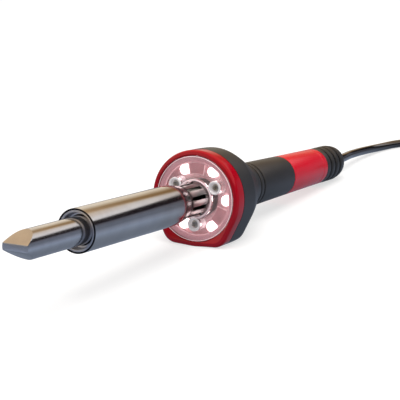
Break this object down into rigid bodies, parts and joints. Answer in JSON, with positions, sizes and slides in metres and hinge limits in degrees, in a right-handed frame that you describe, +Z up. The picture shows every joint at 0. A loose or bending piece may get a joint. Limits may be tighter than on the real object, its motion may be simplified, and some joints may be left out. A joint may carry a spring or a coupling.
{
  "type": "soldering iron",
  "caption": "Mains soldering iron with a broad chisel tip in a polished barrel, a lit halo lens in a footed collar, a two-tone grip and a cord with a plug.",
  "frame": {"origin": "centre of the iron's box in plan, on the surface that it lies on; the free cord and its plug are not counted", "axes": "+X along the iron from the tip to the cord, +Z up; the iron's own axis falls 4.8 degrees towards the cord because it lies on the flat of its housing and on its cord boot"},
  "size_m": [0.4265, 0.0617, 0.0372],
  "materials": {
    "tip_plating": "polished iron plating with faint turning marks",
    "barrel_steel": "polished stainless tube",
    "rear_tube_steel": "polished tube slightly heat tinted",
    "collar_steel": "turned, dull",
    "screw_steel": "turned, dull",
    "nickel_screw": "bright plated",
    "heater_ceramic": "matte",
    "heater_wire": "oxidised",
    "mica": "satin",
    "lens_clear": "clear moulded",
    "bezel_red": "glossy moulded red",
    "housing_black": "fine moulded texture",
    "grip_black": "soft touch",
    "grip_red": "soft touch satin",
    "light_glow": "lit white",
    "board": "solder mask",
    "electronics": "moulded",
    "sleeving": "woven glass sleeve",
    "wire_brown": "smooth",
    "wire_blue": "smooth",
    "crimp_metal": "tinned",
    "cord_black": "glossy jacket",
    "strap": "hook and loop strap",
    "plug_black": "moulded",
    "pin_metal": "bright plated"
  },
  "bodies": {
    "iron": {"barrel": "barrel_steel", "rear_tube": "rear_tube_steel", "front_collar": "collar_steel", "mounting_flange": "screw_steel", "flange_screw_1": "screw_steel", "flange_screw_2": "screw_steel", "flange_screw_3": "screw_steel", "lens_screw_1": "nickel_screw", "lens_screw_2": "nickel_screw", "lens_screw_3": "nickel_screw", "clamp_screw_1": "nickel_screw", "clamp_screw_2": "nickel_screw", "heater_core": "heater_ceramic", "heater_plug": "heater_ceramic", "heater_winding": "heater_wire", "mica_sleeve": "mica", "dropper_resistor": "mica", "halo_lens": "lens_clear", "bezel": "bezel_red", "housing": "housing_black", "handle_core": "housing_black", "clamp_lower": "housing_black", "clamp_upper": "housing_black", "front_grip": "grip_black", "neck_ring": "grip_black", "cord_boot": "grip_black", "rear_sleeve": "grip_red", "light_1": "light_glow", "light_2": "light_glow", "light_3": "light_glow", "light_4": "light_glow", "light_5": "light_glow", "light_6": "light_glow", "light_board": "board", "driver_board": "board", "film_capacitor": "electronics", "rectifier": "electronics", "heater_lead_1": "sleeving", "heater_lead_2": "sleeving", "cord_core_1": "wire_brown", "light_lead_1": "wire_brown", "cord_core_2": "wire_blue", "light_lead_2": "wire_blue", "crimp_1": "crimp_metal", "crimp_2": "crimp_metal", "cord_run": "cord_black", "cord_tail": "cord_black", "cord_coil": "cord_black", "cord_end": "cord_black", "coil_tie": "strap", "plug_body": "plug_black", "plug_blade_1": "pin_metal", "plug_blade_2": "pin_metal"},
    "tip_bar": {"tip": "tip_plating"},
    "grub_screw": {"tip_screw": "screw_steel"}
  },
  "joints": [
    {"name": "tip_slide", "type": "slide", "parent": "iron", "child": "tip_bar", "axis": [-0.9965, 0, 0.0839], "range_m": [0, 0.05]},
    {"name": "tip_screw_turn", "type": "hinge", "parent": "iron", "child": "grub_screw", "pos_m": [-0.08607, 0, 0.01741], "axis": [-0.0839, 0, -0.9965], "range_deg": [0, 720]}
  ]
}
